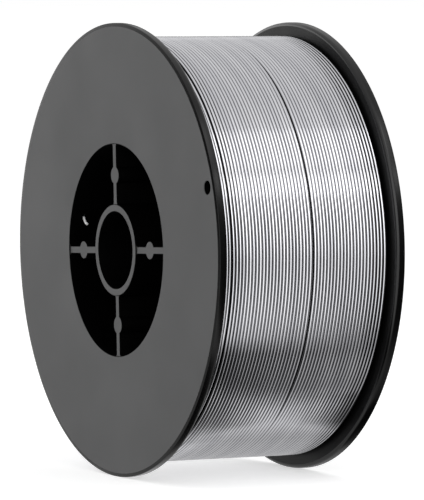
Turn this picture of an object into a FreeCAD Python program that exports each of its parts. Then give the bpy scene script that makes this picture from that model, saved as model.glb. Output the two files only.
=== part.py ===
import FreeCAD, Part
import math
import os

import Sketcher

# Welding wire spool: a moulded plastic spool wound full of thin bare wire.
# The spool's axis lies along Y and its near flange faces -Y. +Z is up and the spool stands on the rims of
# its two flanges. The origin is the middle of the spindle bore. Lengths are millimetres, angles degrees
# counted from +X towards +Z, as seen from the near side.

SIZES = {
    # flanges and barrel
    "flange_diameter": 100.0,
    "spool_width": 45.0,
    "flange_thickness": 2.1,
    "rim_round": 0.4,
    "rim_inner_chamfer": 0.4,
    "barrel_inner_diameter": 46.8,
    "barrel_wall": 2.0,
    # hub
    "bore_diameter": 17.0,
    "tube_wall": 1.6,
    "rib_thickness": 1.6,
    "rib_count": 4,
    "rib_angle": 2.5,
    "rib_recess": 0.25,
    "post_diameter": 4.0,
    "post_circle_diameter": 33.0,
    "rib_root_round": 0.5,
    # small holes for the two ends of the wire
    "end_hole_diameter": 3.0,
    "end_hole_from_rim": 3.2,
    "end_hole_angle": 19.2,
    "start_hole_clearance": 0.3,
    "start_hole_from_flange": 0.2,
    "start_hole_angle": 163.8,
    # winding
    "wire_diameter": 0.8,
    "turn_gap": 0.008,
    "winding_below_rim": 3.0,
    "winding_clearance": 0.05,
    # the wire's inner end, where it shows in the hub
    "first_leg_angle": -50.9,
    "first_leg_length": 1.55,
    "second_leg_angle": -21.3,
    "second_leg_length": 0.95,
    "hook_bend_radius": 1.2,
}

document = FreeCAD.newDocument("wire_spool")
sheet = document.addObject("Spreadsheet::Sheet", "dims")
for row, (word, value) in enumerate(SIZES.items(), start=1):
    sheet.set(f"A{row}", word)
    sheet.set(f"B{row}", str(value))
    sheet.setAlias(f"B{row}", word)
document.recompute()

HALF_WIDTH = "dims.spool_width / 2"
FLANGE_RADIUS = "dims.flange_diameter / 2"
FLANGE_INNER = "(dims.spool_width / 2 - dims.flange_thickness)"
BARREL_INNER = "dims.barrel_inner_diameter / 2"
BARREL_OUTER = "(dims.barrel_inner_diameter / 2 + dims.barrel_wall)"
TUBE_OUTER = "(dims.bore_diameter / 2 + dims.tube_wall)"
WINDING_OUTER = "(dims.flange_diameter / 2 - dims.winding_below_rim)"
TURN_PITCH = "(dims.wire_diameter + dims.turn_gap)"
# A layer is a helix, so it takes one wire diameter more than its turns do.
TURNS_IN_LAYER = f"floor((2 * {FLANGE_INNER} - dims.wire_diameter) / {TURN_PITCH})"
END_HOLE_CIRCLE = "(dims.flange_diameter / 2 - dims.end_hole_from_rim)"
START_HOLE_RADIUS = "(dims.wire_diameter / 2 + dims.start_hole_clearance)"
START_HOLE_PLANE = f"(dims.start_hole_from_flange + {START_HOLE_RADIUS} - {FLANGE_INNER})"


def new_body(label):
    """A PartDesign body whose label names the part's file."""
    body = document.addObject("PartDesign::Body", label)
    body.Label = label
    return body


def new_sketch(body, name, plane, offset=None):
    """A sketch on one of the body's own origin planes, moved and turned by expressions from the sheet."""
    sketch = body.newObject("Sketcher::SketchObject", name)
    support = next(item for item in body.Origin.OriginFeatures if item.Role == plane)
    sketch.AttachmentSupport = [(support, "")]
    sketch.MapMode = "FlatFace"
    for path, formula in (offset or {}).items():
        sketch.setExpression(f".AttachmentOffset.{path}", formula)
    document.recompute()
    return sketch


def number(formula):
    """The value of an expression on the sheet, as a plain number."""
    value = sheet.evalExpression(formula)
    return float(getattr(value, "Value", value))


def bind(sketch, kind, *where, formula):
    """One sketch dimension bound to the sheet."""
    value = number(formula)
    index = sketch.addConstraint(Sketcher.Constraint(kind, *where, value))
    sketch.setExpression(f"Constraints[{index}]", formula)


def place_point(sketch, geometry, point, across, up):
    """Hold a sketch point at its two distances from the sketch's origin."""
    bind(sketch, "DistanceX", -1, 1, geometry, point, formula=across)
    bind(sketch, "DistanceY", -1, 1, geometry, point, formula=up)


def outline(sketch, corners):
    """A closed outline of straight lines through corners given as pairs of expressions."""
    points = [FreeCAD.Vector(number(across), number(up), 0) for across, up in corners]
    following = points[1:] + points[:1]
    lines = [sketch.addGeometry(Part.LineSegment(a, b)) for a, b in zip(points, following)]
    for line, after in zip(lines, lines[1:] + lines[:1]):
        sketch.addConstraint(Sketcher.Constraint("Coincident", line, 2, after, 1))
    for line, (across, up) in zip(lines, corners):
        place_point(sketch, line, 1, across, up)


def circle(sketch, across, up, diameter):
    """A circle with its centre and diameter given as expressions."""
    centre = FreeCAD.Vector(number(across), number(up), 0)
    index = sketch.addGeometry(Part.Circle(centre, FreeCAD.Vector(0, 0, 1), number(diameter) / 2))
    place_point(sketch, index, 3, across, up)
    bind(sketch, "Diameter", index, formula=diameter)


def revolve(body, sketch, name):
    """The sketch turned once round the spool's axis, which is the sketch's horizontal axis."""
    feature = body.newObject("PartDesign::Revolution", name)
    feature.Profile = (sketch, [""])
    feature.ReferenceAxis = (sketch, ["H_Axis"])
    feature.Angle = 360
    document.recompute()
    return feature


def pad_both_ways(body, sketch, name, length):
    """The sketch padded evenly to both sides of its plane."""
    feature = body.newObject("PartDesign::Pad", name)
    feature.Profile = (sketch, [""])
    feature.SideType = "Symmetric"
    feature.setExpression("Length", length)
    document.recompute()
    return feature


def pocket(body, sketch, name, length, both_ways=False):
    """A cut from the sketch, against its normal or evenly both ways, that has to take material away."""
    before = body.Shape.Volume
    feature = body.newObject("PartDesign::Pocket", name)
    feature.Profile = (sketch, [""])
    feature.SideType = "Symmetric" if both_ways else "One side"
    feature.setExpression("Length", length)
    document.recompute()
    if body.Shape.Volume >= before:
        raise RuntimeError(f"{name} cuts nothing")
    return feature


def dress(body, kind, name, size, wanted):
    """A Fillet or Chamfer of the given size on every edge of the body that the test picks out."""
    base = body.Tip
    edges = [f"Edge{index}" for index, edge in enumerate(base.Shape.Edges, start=1) if wanted(edge)]
    feature = body.newObject(f"PartDesign::{kind}", name)
    feature.Base = (base, edges)
    feature.setExpression("Radius" if kind == "Fillet" else "Size", size)
    document.recompute()
    return feature


def is_circle(edge, radius, distance=None):
    """Whether an edge is a circle of this radius, and lies this far from the spool's middle if that is given."""
    if not isinstance(edge.Curve, Part.Circle) or not same(edge.Curve.Radius, radius):
        return False
    return distance is None or same(abs(edge.Curve.Center.y), distance)


def is_line_along_axis(edge, radius):
    """Whether an edge is a straight line along the spool's axis, this far from it."""
    start, end = edge.firstVertex().Point, edge.lastVertex().Point
    straight = isinstance(edge.Curve, Part.Line) and same(start.x, end.x) and same(start.z, end.z)
    return straight and same(math.hypot(start.x, start.z), radius)


def along_wire(across, up, direction):
    """Offset of a YZ sketch that puts its origin on the wire and its normal along the wire."""
    return {
        "Base.x": START_HOLE_PLANE,
        "Base.y": up,
        "Base.z": across,
        "Rotation.Axis.x": "1",
        "Rotation.Axis.z": "0",
        "Rotation.Angle": f"-({direction}) * 1 deg",
    }


def same(first, second):
    """Whether two lengths agree to a millionth of a millimetre."""
    return math.isclose(first, second, abs_tol=1e-6)


# The wire passes the barrel's inner wall at this point, on its way into the hub.
WALL_ACROSS = f"{BARREL_INNER} * cos(dims.start_hole_angle * 1 deg)"
WALL_UP = f"{BARREL_INNER} * sin(dims.start_hole_angle * 1 deg)"
# Its path starts this far back from there, well inside the winding.
BURIED_LENGTH = "(2 * dims.barrel_wall + dims.wire_diameter)"
PATH_ACROSS = f"({WALL_ACROSS} - {BURIED_LENGTH} * cos(dims.first_leg_angle * 1 deg))"
PATH_UP = f"({WALL_UP} - {BURIED_LENGTH} * sin(dims.first_leg_angle * 1 deg))"


def build_spool():
    """The moulding: flanges and barrel, wire holes, ribs with posts, spindle tube."""
    body = new_body("spool")

    section = new_sketch(body, "flange_and_barrel_section", "YZ_Plane")
    outline(section, [
        (f"-{HALF_WIDTH}", BARREL_INNER),
        (f"-{HALF_WIDTH}", FLANGE_RADIUS),
        (f"-{FLANGE_INNER}", FLANGE_RADIUS),
        (f"-{FLANGE_INNER}", BARREL_OUTER),
        (FLANGE_INNER, BARREL_OUTER),
        (FLANGE_INNER, FLANGE_RADIUS),
        (HALF_WIDTH, FLANGE_RADIUS),
        (HALF_WIDTH, BARREL_INNER),
    ])
    revolve(body, section, "flanges_and_barrel")
    rim = number(FLANGE_RADIUS)
    dress(
        body, "Fillet", "rounded_rims", "min(dims.rim_round; 0.5 * dims.flange_thickness)",
        lambda edge: is_circle(edge, rim, number(HALF_WIDTH)))
    dress(
        body, "Chamfer", "broken_inner_edges", "min(dims.rim_inner_chamfer; 0.4 * dims.flange_thickness)",
        lambda edge: is_circle(edge, rim, number(FLANGE_INNER)))

    start_hole = new_sketch(
        body, "start_hole_outline", "YZ_Plane", along_wire(WALL_ACROSS, WALL_UP, "dims.first_leg_angle"))
    circle(start_hole, "0", "0", f"2 * {START_HOLE_RADIUS}")
    pocket(body, start_hole, "start_hole", "6 * dims.barrel_wall", both_ways=True)

    end_hole = new_sketch(body, "end_hole_outline", "XZ_Plane", {"Base.z": HALF_WIDTH})
    circle(
        end_hole,
        f"{END_HOLE_CIRCLE} * cos(dims.end_hole_angle * 1 deg)",
        f"{END_HOLE_CIRCLE} * sin(dims.end_hole_angle * 1 deg)",
        "dims.end_hole_diameter")
    pocket(body, end_hole, "end_hole", "1.5 * dims.flange_thickness")

    turned = {"Rotation.Angle": "dims.rib_angle * 1 deg"}
    rib_outline = new_sketch(body, "rib_outline", "XZ_Plane", turned)
    rib_inner = f"({TUBE_OUTER} - dims.tube_wall / 2)"
    rib_outer = f"({BARREL_INNER} + dims.barrel_wall / 2)"
    outline(rib_outline, [
        (rib_inner, "-dims.rib_thickness / 2"),
        (rib_outer, "-dims.rib_thickness / 2"),
        (rib_outer, "dims.rib_thickness / 2"),
        (rib_inner, "dims.rib_thickness / 2"),
    ])
    rib = pad_both_ways(body, rib_outline, "rib", "dims.spool_width")
    post_outline = new_sketch(body, "post_outline", "XZ_Plane", turned)
    circle(post_outline, "dims.post_circle_diameter / 2", "0", "dims.post_diameter")
    post = pad_both_ways(body, post_outline, "post", "dims.spool_width")

    spokes = body.newObject("PartDesign::PolarPattern", "ribs_and_posts")
    spokes.Originals = [rib, post]
    spokes.Axis = (section, ["H_Axis"])
    spokes.Angle = 360
    spokes.setExpression("Occurrences", "dims.rib_count")
    body.Tip = spokes
    document.recompute()

    tube_outline = new_sketch(body, "tube_outline", "XZ_Plane")
    circle(tube_outline, "0", "0", f"2 * {TUBE_OUTER}")
    circle(tube_outline, "0", "0", "dims.bore_diameter")
    pad_both_ways(body, tube_outline, "spindle_tube", "dims.spool_width")
    tube, barrel = number(TUBE_OUTER), number(BARREL_INNER)
    dress(
        body, "Fillet", "rounded_rib_roots", "dims.rib_root_round",
        lambda edge: is_line_along_axis(edge, tube) or is_line_along_axis(edge, barrel))

    # Ribs and posts end a little below the outer faces. Each cut runs towards +Y.
    for name, start in {"near_recess": f"-{HALF_WIDTH}", "far_recess": f"{HALF_WIDTH} - dims.rib_recess"}.items():
        recess = new_sketch(body, f"{name}_outline", "XZ_Plane", {"Base.z": f"-({start})"})
        circle(recess, "0", "0", f"2 * {BARREL_INNER}")
        circle(recess, "0", "0", f"2 * {TUBE_OUTER}")
        pocket(body, recess, name, "dims.rib_recess")
    return body


def build_wire_coil():
    """The winding as one turned solid, with the wire's inner end standing out of its bore."""
    body = new_body("wire_coil")

    section = new_sketch(body, "winding_section", "YZ_Plane")
    bore = f"({BARREL_OUTER} + dims.winding_clearance)"
    last_turn = f"({TURNS_IN_LAYER} * {TURN_PITCH} + dims.wire_diameter / 2 - {FLANGE_INNER})"
    below_last = f"({WINDING_OUTER} - dims.wire_diameter)"
    outline(section, [
        (f"-{FLANGE_INNER}", bore),
        (f"-{FLANGE_INNER}", WINDING_OUTER),
        (last_turn, WINDING_OUTER),
        (last_turn, below_last),
        (FLANGE_INNER, below_last),
        (FLANGE_INNER, bore),
    ])
    revolve(body, section, "winding")
    outer = number(WINDING_OUTER)
    dress(
        body, "Chamfer", "outer_turns_at_the_ends", "0.3 * dims.wire_diameter",
        lambda edge: is_circle(edge, outer))

    path = new_sketch(body, "inner_end_path", "XZ_Plane", {"Base.z": f"-{START_HOLE_PLANE}"})
    draw_hook(path)
    wire = new_sketch(
        body, "wire_section", "YZ_Plane", along_wire(PATH_ACROSS, PATH_UP, "dims.first_leg_angle"))
    circle(wire, "0", "0", "dims.wire_diameter")
    inner_end = body.newObject("PartDesign::AdditivePipe", "inner_end")
    inner_end.Profile = (wire, [""])
    inner_end.Spine = (path, [""])
    document.recompute()
    return body


def draw_hook(path):
    """The inner end's line: straight out of the winding, one small bend, and a short straight end."""
    first = math.radians(number("dims.first_leg_angle"))
    second = math.radians(number("dims.second_leg_angle"))
    radius = number("dims.hook_bend_radius")
    first_length = f"({BURIED_LENGTH} + dims.first_leg_length)"
    start = FreeCAD.Vector(number(PATH_ACROSS), number(PATH_UP), 0)
    corner = start + FreeCAD.Vector(math.cos(first), math.sin(first), 0) * number(first_length)
    middle = corner + FreeCAD.Vector(-math.sin(first), math.cos(first), 0) * radius
    bent = middle + FreeCAD.Vector(math.sin(second), -math.cos(second), 0) * radius
    tip = bent + FreeCAD.Vector(math.cos(second), math.sin(second), 0) * number("dims.second_leg_length")
    bend_circle = Part.Circle(middle, FreeCAD.Vector(0, 0, 1), radius)
    quarter = math.pi / 2

    leg = path.addGeometry(Part.LineSegment(start, corner))
    bend = path.addGeometry(Part.ArcOfCircle(bend_circle, first - quarter, second - quarter))
    end = path.addGeometry(Part.LineSegment(bent, tip))
    path.addConstraint(Sketcher.Constraint("Tangent", leg, 2, bend, 1))
    path.addConstraint(Sketcher.Constraint("Tangent", bend, 2, end, 1))
    place_point(path, leg, 1, PATH_ACROSS, PATH_UP)
    bind(path, "Angle", leg, formula="dims.first_leg_angle * 1 deg")
    bind(path, "Distance", leg, formula=first_length)
    bind(path, "Radius", bend, formula="dims.hook_bend_radius")
    bind(path, "Angle", end, formula="dims.second_leg_angle * 1 deg")
    bind(path, "Distance", end, formula="dims.second_leg_length")


def check_and_export(bodies):
    """Stop at any failed object or bad solid, then write one STEP file for each body."""
    document.recompute()
    for item in document.Objects:
        if "Invalid" in item.State or "Error" in item.State:
            raise RuntimeError(f"{item.Name} failed: {item.State}")
    os.makedirs("parts", exist_ok=True)
    for body in bodies:
        shape = body.Shape
        if shape.isNull() or not shape.isValid() or len(shape.Solids) != 1:
            raise RuntimeError(f"{body.Label} is not one valid solid")
        shape.exportStep(f"parts/{body.Label}.step")
        print(f"{body.Label}: {shape.Volume / 1000:.2f} cm3, {len(shape.Faces)} faces")


check_and_export([build_spool(), build_wire_coil()])
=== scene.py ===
"""Dressed model of a mig welding wire spool: black moulded plastic, wound full of thin bare wire.

The spool's axis lies along Y, its near flange faces -Y, and it stands on the rims of its two flanges, with
+Z up. Everything is in metres. A size that is written in millimetres is multiplied by MM. Angles round the
axis are counted from +X towards +Z, as seen from the near side.
"""

import enum
import logging
import math
from collections.abc import Callable, Sequence
from dataclasses import dataclass, field
from functools import partial

import bmesh
import bpy
import numpy as np
from bpy.types import ID, Material, Mesh, Node, NodeSocket, NodeTree, Object
from mathutils import Matrix, Vector
from mathutils.geometry import tessellate_polygon


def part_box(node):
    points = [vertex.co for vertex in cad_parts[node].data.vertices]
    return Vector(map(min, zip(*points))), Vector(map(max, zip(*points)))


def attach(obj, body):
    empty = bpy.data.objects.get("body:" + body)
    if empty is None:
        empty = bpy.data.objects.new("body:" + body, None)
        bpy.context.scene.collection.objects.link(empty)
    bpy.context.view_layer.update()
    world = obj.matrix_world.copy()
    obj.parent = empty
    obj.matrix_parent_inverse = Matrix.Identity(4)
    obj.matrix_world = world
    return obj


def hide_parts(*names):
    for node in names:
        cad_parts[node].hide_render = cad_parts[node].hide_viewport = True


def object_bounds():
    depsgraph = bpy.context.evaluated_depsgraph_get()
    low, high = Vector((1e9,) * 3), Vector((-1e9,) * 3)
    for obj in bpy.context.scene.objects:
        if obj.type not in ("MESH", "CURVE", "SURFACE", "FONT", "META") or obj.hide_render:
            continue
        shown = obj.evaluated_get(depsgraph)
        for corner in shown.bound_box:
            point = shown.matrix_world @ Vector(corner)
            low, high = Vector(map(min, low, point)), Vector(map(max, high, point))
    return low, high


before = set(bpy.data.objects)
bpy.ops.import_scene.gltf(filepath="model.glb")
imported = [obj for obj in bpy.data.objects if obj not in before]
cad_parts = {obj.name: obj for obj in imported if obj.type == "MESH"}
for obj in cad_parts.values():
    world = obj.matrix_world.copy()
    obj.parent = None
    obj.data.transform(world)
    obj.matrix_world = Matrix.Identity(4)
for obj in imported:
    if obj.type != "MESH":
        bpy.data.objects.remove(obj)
CAD_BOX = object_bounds()

MM = 0.001
FLOOR_LEVEL = CAD_BOX[0].z
FULL_TURN = 2 * math.pi
WIRE_RADIUS = 0.4 * MM
JOIN_WITHIN = 0.0005 * MM
CARD_STEPS = 8
WIRE_UV = "along_wire"
TURN_TONE = "turn_tone"
CARD_TONE = "card_tone"
WHITE = (1, 1, 1, 1)
AXIS = np.array([[0.0, 1.0, 0.0]])
Colour = tuple[float, float, float]
Span = tuple[float, float]
Outline = Callable[[float], np.ndarray]
CardRow = tuple[tuple[float, float, float, float], ...]

log = logging.getLogger("wire_spool")


class Surface(enum.IntEnum):
    """The kinds of moulded surface, in the order of the spool's material slots. All but FACE get a darker
    copy of the plastic, as painted shade.
    """

    FACE = 0
    INNER = 1
    RIM = 2
    HUB = 3
    BEVEL = 4
    LIP = 5


class Side(enum.IntEnum):
    """The spool's two ends, by the sign of their place along the axis."""

    NEAR = -1
    FAR = 1


class HubPart(enum.IntEnum):
    """What takes turns round the hub, in the order of HubSection's numbers of steps."""

    RIB = 0
    OPENING = 1


class NodeGraph:
    """A small helper that adds and joins the nodes of one material or world."""

    def __init__(self, tree: NodeTree) -> None:
        """Empty the node tree that is to be filled."""
        tree.nodes.clear()
        self.tree = tree

    def add(self, kind: str, inputs: dict[str | int, object] | None = None, **settings: object) -> Node:
        """Add one node.

        Args:
            kind: The node's type name in Blender.
            inputs: What its inputs get, each another node's output or a plain value.
            **settings: Attributes to set on the node.

        Returns:
            The new node.
        """
        node = self.tree.nodes.new(kind)
        for name, value in settings.items():
            setattr(node, name, value)
        for name, value in (inputs or {}).items():
            if isinstance(value, NodeSocket):
                self.tree.links.new(value, node.inputs[name])
            else:
                node.inputs[name].default_value = value
        return node

    def show(self, surface: NodeSocket, kind: str = "ShaderNodeOutputMaterial") -> None:
        """Lead a shader to the tree's output."""
        self.add(kind, {"Surface": surface})

    def calculate(self, operation: str, *values: NodeSocket | float) -> NodeSocket:
        """Do one step of arithmetic on outputs or plain numbers."""
        return self.add("ShaderNodeMath", dict(enumerate(values)), operation=operation).outputs["Value"]

    def second_part(self, vector: NodeSocket) -> NodeSocket:
        """Take the second number of a vector."""
        return self.add("ShaderNodeSeparateXYZ", {"Vector": vector}).outputs["Y"]

    def noise(self, place: NodeSocket, scale: float, detail: float) -> NodeSocket:
        """Add a noise laid out by a vector, with this many cycles in one unit of it and finer octaves."""
        inputs = {"Vector": place, "Scale": scale, "Detail": detail}
        return self.add("ShaderNodeTexNoise", inputs).outputs["Fac"]

    def remap(
        self, value: NodeSocket, low: NodeSocket | float, high: float, start: float = 0.3, end: float = 0.7
    ) -> NodeSocket:
        """Turn a factor into a range of plain numbers.

        Args:
            value: The factor.
            low: The result at and below start.
            high: The result at and above end.
            start: Lower end of the factor's used part.
            end: Upper end of the factor's used part.

        Returns:
            The remapped output.
        """
        ends = {"From Min": start, "From Max": end, "To Min": low, "To Max": high}
        return self.add("ShaderNodeMapRange", {"Value": value, **ends}).outputs["Result"]

    def blend_colours(self, factor: NodeSocket, first: Colour, second: Colour) -> NodeSocket:
        """Mix two linear colours, with the factor as the second one's share."""
        inputs = {"Factor": factor, "A": (*first, 1.0), "B": (*second, 1.0)}
        return self.add("ShaderNodeMix", inputs, data_type="RGBA").outputs["Result"]

    def bump(self, height: NodeSocket, strength: float, depth: float) -> NodeSocket:
        """Make normals from a height factor, with its share of effect and the relief's depth in metres."""
        inputs = {"Height": height, "Strength": strength, "Distance": depth}
        return self.add("ShaderNodeBump", inputs).outputs["Normal"]


def new_material(name: str) -> tuple[Material, NodeGraph]:
    """Make a material that has no nodes yet.

    Args:
        name: Its name.

    Returns:
        The material and its graph.
    """
    material = bpy.data.materials.new(name)
    material.use_nodes = True
    return material, NodeGraph(material.node_tree)


@dataclass(frozen=True)
class MouldedPlastic:
    """Black plastic with the mould's own surface: a fine grain and faint clouds of shine.

    Fields: linear colour of the two tones, roughness of the shinier and duller places, specular level, size,
    depth, strength and finer octaves of the grain, and size and finer octaves of the clouds.
    """

    name: str
    dark: Colour
    light: Colour
    roughness: Span
    specular: float
    grain: float = 0.25 * MM
    grain_depth: float = 0.004 * MM
    grain_strength: float = 0.5
    grain_detail: float = 4
    cloud: float = 14 * MM
    cloud_detail: float = 3

    def build(self) -> Material:
        """Make the material, laid out by the object's own coordinates.

        Returns:
            The material.
        """
        material, graph = new_material(self.name)
        place = graph.add("ShaderNodeTexCoord").outputs["Object"]
        clouds = graph.noise(place, 1 / self.cloud, self.cloud_detail)
        grain = graph.noise(place, 1 / self.grain, self.grain_detail)
        shader = graph.add("ShaderNodeBsdfPrincipled", {
            "Base Color": graph.blend_colours(graph.remap(clouds, 0, 1), self.dark, self.light),
            "Roughness": graph.remap(clouds, *self.roughness),
            "Specular IOR Level": self.specular,
            "Normal": graph.bump(grain, self.grain_strength, self.grain_depth),
        })
        graph.show(shader.outputs["BSDF"])
        return material


@dataclass(frozen=True)
class DrawnWire:
    """Bright bare wire with fine drawing lines along it, each turn a little lighter or darker.

    Fields: how dark the painted shade makes its flanks between the turns, in the middle and next to the
    flanges, share of bare metal, linear colour of the duller and the brighter turns, roughness range, length,
    width, depth, strength and finer octaves of the drawing lines, and the wire's radius. The painted shade on
    the flanks fades in from full_until to dark_from, both angles round the wire from where it faces away from
    the axis. The deeper painted shade next to the flanges comes in over edge_fade, two distances from the
    middle of the spool.
    """

    name: str
    painted_flank_shade: float
    painted_edge_shade: float
    metallic: float = 1.0
    dull: Colour = (0.67, 0.671, 0.706)
    bright: Colour = (0.82, 0.82, 0.85)
    roughness: Span = (0.08, 0.15)
    line_length: float = 9 * MM
    line_width: float = 0.05 * MM
    line_depth: float = 0.0015 * MM
    line_strength: float = 0.6
    line_detail: float = 2
    wire_radius: float = WIRE_RADIUS
    full_until: float = math.radians(25)
    dark_from: float = math.radians(52)
    edge_fade: Span = (14.5 * MM, 17.8 * MM)

    def build(self) -> Material:
        """Make the material, laid out by the wire's own UV map.

        Returns:
            The material.
        """
        material, graph = new_material(self.name)
        along = graph.add("ShaderNodeUVMap", uv_map=WIRE_UV).outputs["UV"]
        scale = (1 / self.line_length, 1 / self.line_width, 1)
        stretched = graph.add("ShaderNodeMapping", {"Vector": along, "Scale": scale}).outputs["Vector"]
        lines = graph.noise(stretched, 1, self.line_detail)
        tone = graph.add("ShaderNodeAttribute", attribute_name=TURN_TONE).outputs["Fac"]
        colour = graph.blend_colours(tone, self.dull, self.bright)
        # painted shade: the base colour is darkened on the wire's flanks, between the turns
        shaded = graph.add(
            "ShaderNodeVectorMath", {0: colour, "Scale": self.paint_flank_shade(graph, along)}, operation="SCALE")
        shader = graph.add("ShaderNodeBsdfPrincipled", {
            "Base Color": shaded.outputs["Vector"],
            "Metallic": self.metallic,
            "Roughness": graph.remap(lines, *self.roughness),
            "Normal": graph.bump(lines, self.line_strength, self.line_depth),
        })
        graph.show(shader.outputs["BSDF"])
        return material

    def paint_flank_shade(self, graph: NodeGraph, layout: NodeSocket) -> NodeSocket:
        """Darken the wire towards its flanks with painted shade, for the shade in the grooves between the
        turns.

        Args:
            graph: The nodes to add to.
            layout: The wire's UV output.

        Returns:
            The output of a factor, 1 on the wire's back and the painted shade's darkest value on its flanks.
        """
        # painted shade round the wire, darker where the surface turns towards the neighbouring turns
        angle = graph.calculate("DIVIDE", graph.second_part(layout), self.wire_radius)
        facing = graph.calculate("COSINE", angle)
        deepest = self.deepest_painted_shade(graph)
        return graph.remap(facing, deepest, 1, math.cos(self.dark_from), math.cos(self.full_until))

    def deepest_painted_shade(self, graph: NodeGraph) -> NodeSocket:
        """Choose the flanks' painted shade by the distance from the middle of the spool, deeper next to the
        flanges.

        Args:
            graph: The nodes to add to.

        Returns:
            The output of a factor, the painted shade of the middle there and the deeper painted shade next to
            the flanges.
        """
        # deeper painted shade next to the flanges, where the grooves get less light
        place = graph.add("ShaderNodeTexCoord").outputs["Object"]
        away = graph.calculate("ABSOLUTE", graph.second_part(place))
        return graph.remap(away, self.painted_flank_shade, self.painted_edge_shade, *self.edge_fade)


class MeshDraft:
    """The points and faces of one piece while it is being made."""

    def __init__(self) -> None:
        """Start with nothing."""
        self.points: list[tuple[float, float, float]] = []
        self.faces: list[tuple[int, ...]] = []
        self.kinds: list[int] = []
        self.smooth: list[bool] = []

    def add_points(self, points: np.ndarray) -> int:
        """Add points.

        Args:
            points: Array of rows X, Y, Z.

        Returns:
            Index of the first new point.
        """
        first = len(self.points)
        self.points.extend(map(tuple, np.asarray(points, float).reshape(-1, 3)))
        return first

    def add_face(self, corners: Sequence[int], kind: int, smooth: bool) -> None:
        """Add one face.

        Args:
            corners: Its points' numbers.
            kind: Its kind of surface.
            smooth: Whether it is shaded as part of a curve.
        """
        self.faces.append(tuple(corners))
        self.kinds.append(kind)
        self.smooth.append(smooth)

    def add_rings(self, rings: Sequence[np.ndarray], kinds: Sequence[int]) -> None:
        """Join closed rings of equal length by bands of four-sided faces.

        Args:
            rings: One array of points for each ring.
            kinds: The kind of surface of each band, one fewer than the rings.
        """
        count = len(rings[0])
        first = self.add_points(np.concatenate(rings))
        for band, kind in enumerate(kinds):
            low = first + band * count
            for here in range(count):
                after = (here + 1) % count
                corners = (low + here, low + after, low + count + after, low + count + here)
                self.add_face(corners, kind, smooth=True)

    def add_plate(self, outlines: Sequence[np.ndarray], kind: int) -> None:
        """Fill a flat region.

        Args:
            outlines: Its outer edge first, then its holes, as arrays of points in one plane across Y.
            kind: The kind of surface.
        """
        first = self.add_points(np.concatenate(outlines))
        loops = [[Vector((x, z, 0)) for x, _, z in outline] for outline in outlines]
        for corners in tessellate_polygon(loops):
            self.add_face([first + corner for corner in corners], kind, smooth=False)

    def build(self, name: str, materials: Sequence[Material]) -> Object:
        """Make the object, with points that coincide joined and all faces turned outwards.

        Args:
            name: Name of the piece.
            materials: One material for each kind of surface.

        Returns:
            The new object, linked to the scene.
        """
        mesh = bpy.data.meshes.new(name)
        mesh.from_pydata(self.points, [], self.faces)
        mesh.polygons.foreach_set("material_index", self.kinds)
        mesh.polygons.foreach_set("use_smooth", self.smooth)
        for material in materials:
            mesh.materials.append(material)
        join_and_turn_outwards(mesh)
        return link_object(name, mesh)


def join_and_turn_outwards(mesh: Mesh) -> None:
    """Join points that coincide and turn every face outwards.

    Args:
        mesh: The mesh to mend.
    """
    work = bmesh.new()
    work.from_mesh(mesh)
    bmesh.ops.remove_doubles(work, verts=work.verts, dist=JOIN_WITHIN)
    bmesh.ops.recalc_face_normals(work, faces=work.faces)
    work.to_mesh(mesh)
    work.free()


def link_object(name: str, data: ID) -> Object:
    """Make an object and link it to the scene.

    Args:
        name: Its name.
        data: Its mesh, lamp or camera.

    Returns:
        The object.
    """
    item = bpy.data.objects.new(name, data)
    bpy.context.scene.collection.objects.link(item)
    return item


def on_plane(outline: np.ndarray, depth: float) -> np.ndarray:
    """Stand an outline of X and Z up at one depth along the axis."""
    return np.column_stack([outline[:, 0], np.full(len(outline), depth), outline[:, 1]])


def arc(centre: Sequence[float], radius: float, start: float, end: float, steps: int) -> np.ndarray:
    """Points on an arc in the XZ plane.

    Args:
        centre: Its centre's X and Z.
        radius: Its radius.
        start: Angle of its first point, in radians.
        end: Angle of its last point, in radians.
        steps: Number of equal steps.

    Returns:
        Array of rows X, Z.
    """
    angles = np.linspace(start, end, steps + 1)
    return np.column_stack([centre[0] + radius * np.cos(angles), centre[1] + radius * np.sin(angles)])


def circle(radius: float, steps: int, centre: Sequence[float] = (0, 0)) -> np.ndarray:
    """Points on a whole circle in the XZ plane, as rows X, Z."""
    return arc(centre, radius, 0, FULL_TURN, steps)[:-1]


def heading(angle: float) -> np.ndarray:
    """X and Z of the unit vector at an angle round the axis."""
    return np.array([math.cos(angle), math.sin(angle)])


def arc_between(start: np.ndarray, end: np.ndarray, steps: int) -> np.ndarray:
    """Points on a circle about the axis, the short way from one point to another.

    Args:
        start: X and Z of the first point.
        end: X and Z of the last point, which lies on the same circle.
        steps: Number of equal steps between them.

    Returns:
        Array of rows X, Z, without the two given points.
    """
    first = math.atan2(start[1], start[0])
    turn = (math.atan2(end[1], end[0]) - first + math.pi) % FULL_TURN - math.pi
    return arc((0, 0), math.hypot(*start), first, first + turn, steps)[1:-1]


def turned(outline: np.ndarray, angle: float) -> np.ndarray:
    """Turn an outline of X and Z about the axis."""
    cosine, sine = math.cos(angle), math.sin(angle)
    return outline @ np.array([[cosine, sine], [-sine, cosine]])


def dress(piece: Object, node: str) -> Object:
    """Let a finished piece ride on the spool's one body and stand for a node.

    Args:
        piece: The finished piece.
        node: The node that it stands for.

    Returns:
        The same piece.
    """
    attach(piece, "root")
    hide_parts(node)
    return piece


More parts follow.
